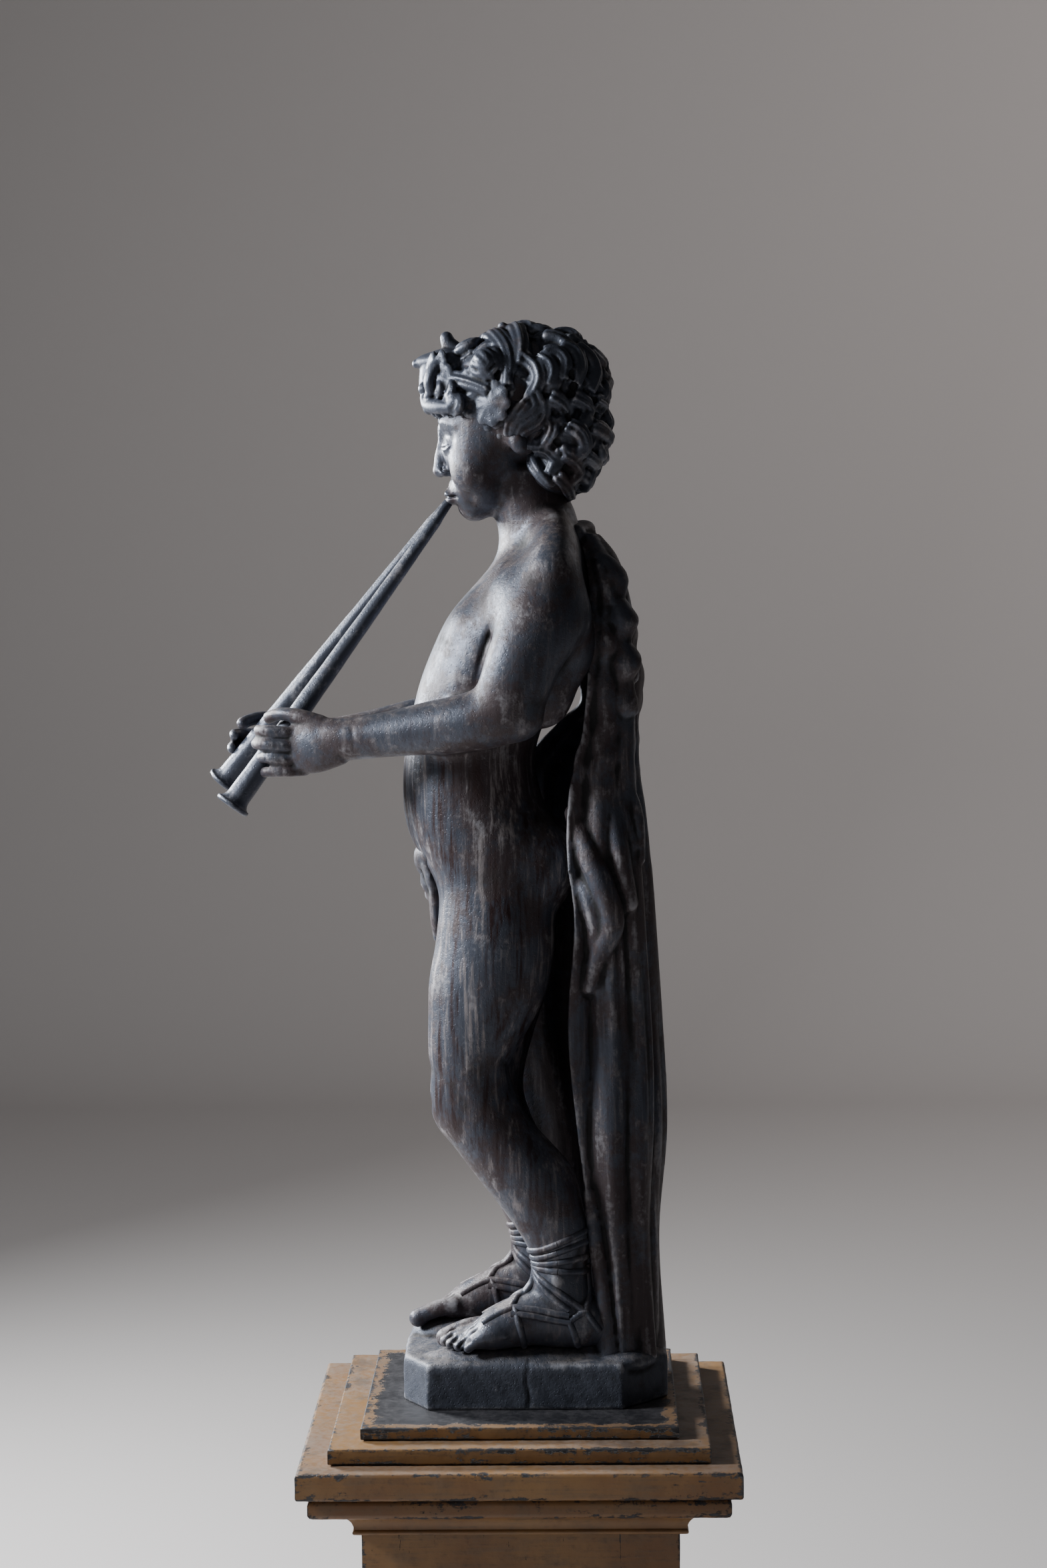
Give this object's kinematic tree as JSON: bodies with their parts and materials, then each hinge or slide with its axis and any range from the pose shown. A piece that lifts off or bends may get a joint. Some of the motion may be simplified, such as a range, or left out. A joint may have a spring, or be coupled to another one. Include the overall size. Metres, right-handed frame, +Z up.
{
  "type": "lead piping boy statue on pedestal",
  "caption": "Cast lead garden statue of a curly-haired boy blowing a pair of flared pipes, a skin cloak down his back, on a low canted lead base and a painted stepped pedestal",
  "frame": {"origin": "centre of the pedestal's underside, where it stands on the floor", "axes": "+Z up, the boy faces -Y, his left side is +X"},
  "size_m": [0.48, 0.5898, 1.8426],
  "materials": {
    "lead": "weathered dull lead, brown and blue-grey patina with rubbed highlights",
    "pipe_lead": "weathered lead, paler and rubbed",
    "painted_wood": "old ochre paint, chipped dark along the edges",
    "shaft_paint": "old ochre paint, smooth and faded"
  },
  "bodies": {
    "root": {"figure": "lead", "left_pipe": "pipe_lead", "right_pipe": "pipe_lead", "top_slab": "painted_wood", "middle_slab": "painted_wood", "cornice_slab": "painted_wood", "bed_moulding": "painted_wood", "neck_moulding": "painted_wood", "shaft": "shaft_paint", "base_moulding": "painted_wood", "plinth_block": "painted_wood"}
  },
  "joints": []
}
